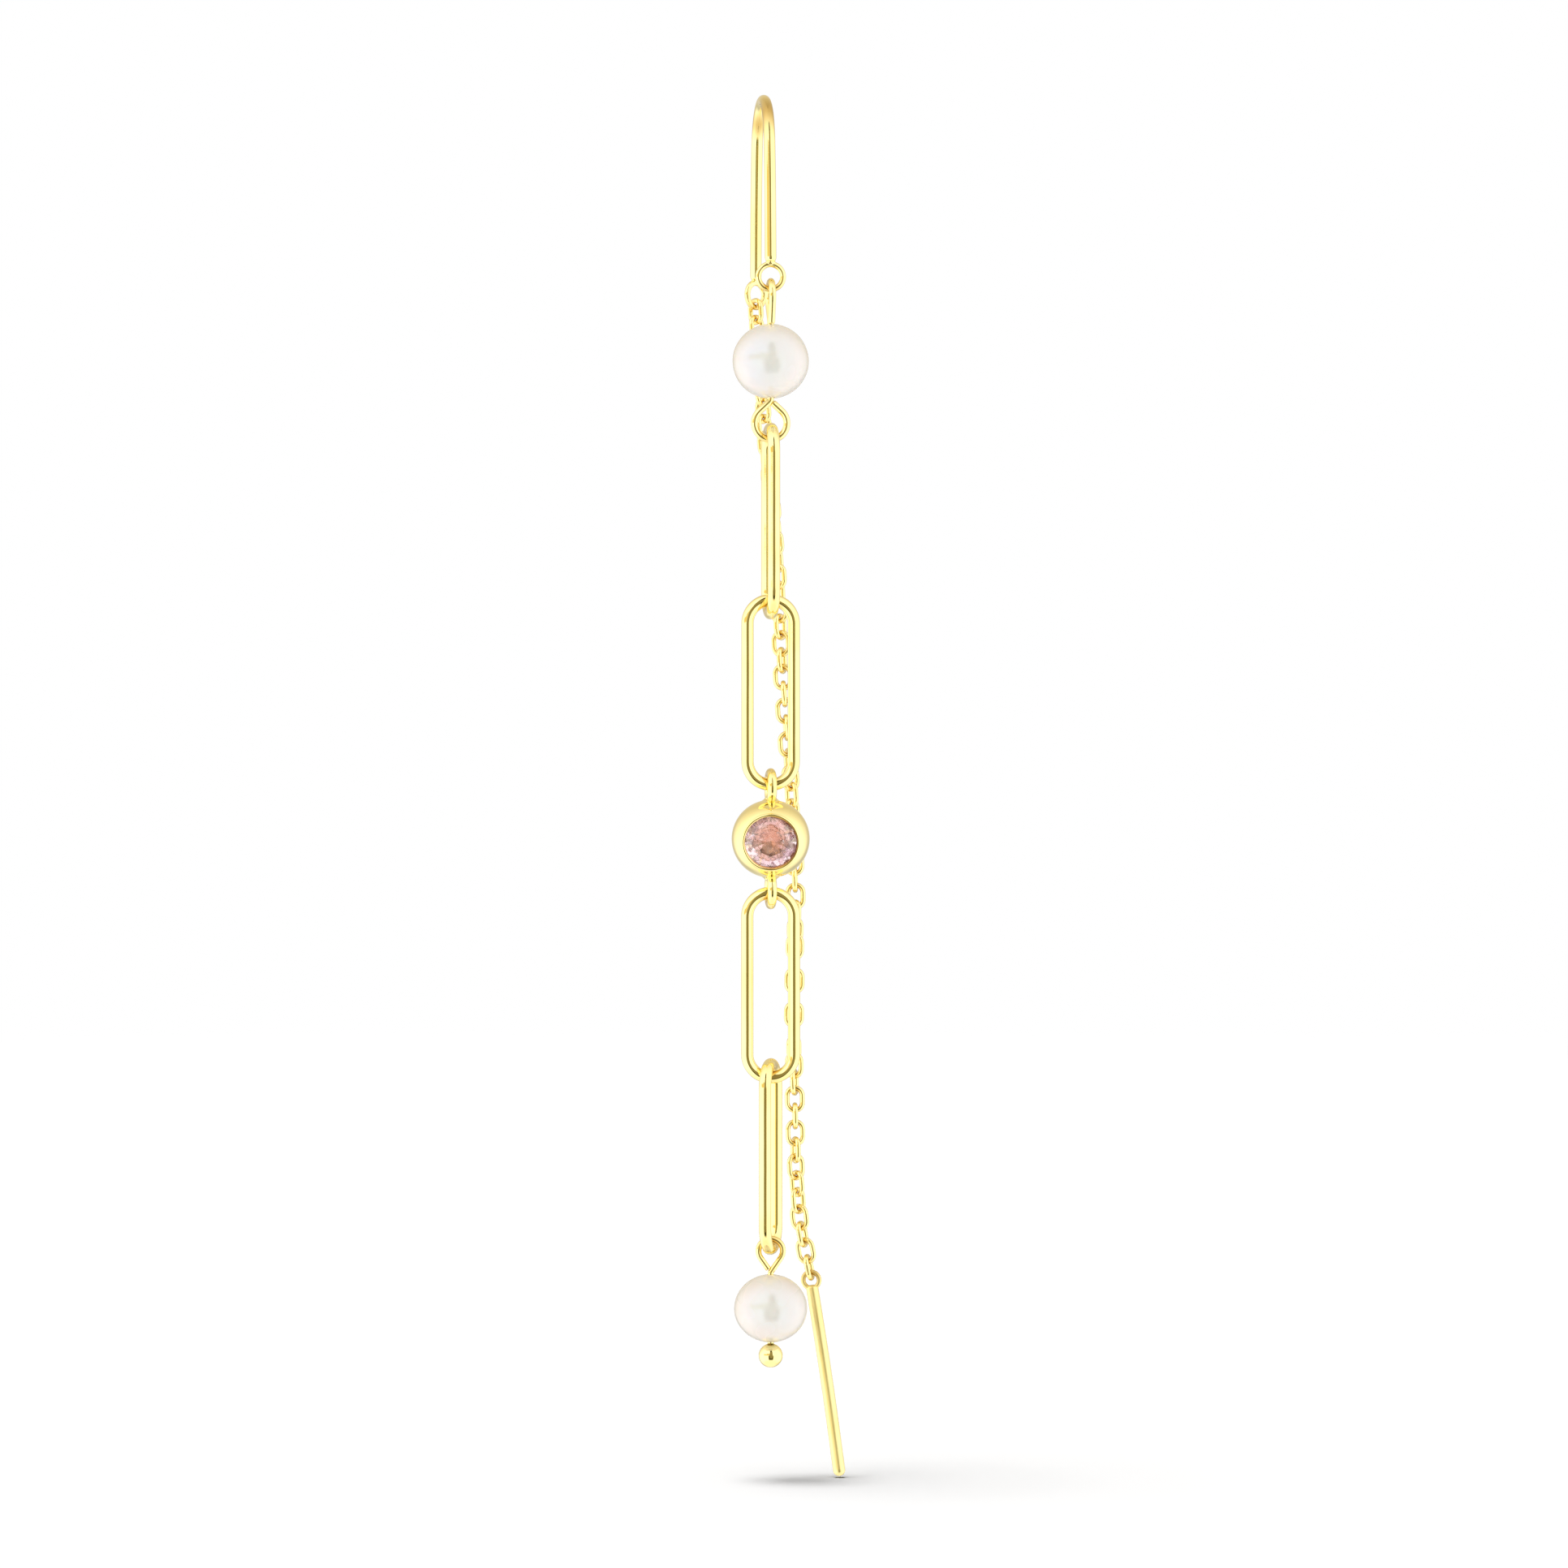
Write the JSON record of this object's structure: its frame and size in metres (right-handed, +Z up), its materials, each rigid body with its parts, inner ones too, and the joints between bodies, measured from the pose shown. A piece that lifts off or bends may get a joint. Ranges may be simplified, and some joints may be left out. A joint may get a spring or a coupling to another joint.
{
  "type": "chain earring",
  "caption": "Threader earring: an arched ear wire with a front drop of long oval links, pearls and a set stone, and a fine chain behind that ends in a threading bar.",
  "frame": {"origin": "inside of the ear wire's arch, where it rests in the piercing", "axes": "+Z up while worn, -Y to the front where the drop hangs, +Y to the back where the fine chain hangs, +X to the viewer's right"},
  "size_m": [0.0063, 0.0093, 0.0748],
  "materials": {
    "gold": "polished gold plate",
    "pearl": "lustrous pearl",
    "stone": "cut and polished pink stone"
  },
  "bodies": {
    "hook": {"ear_wire": "gold", "fine_chain": "gold", "threader_bar": "gold"},
    "drop": {"eye_pin": "gold", "upper_pearl": "pearl", "long_link_1": "gold", "long_link_2": "gold", "stone_cup": "gold", "stone": "stone", "long_link_3": "gold", "long_link_4": "gold", "ball_pin": "gold", "lower_pearl": "pearl"}
  },
  "joints": [
    {"name": "drop_swing", "type": "hinge", "parent": "hook", "child": "drop", "pos_m": [0, -0.0033, -0.0095], "axis": [0, 1, 0], "range_deg": [-40, 40]}
  ]
}
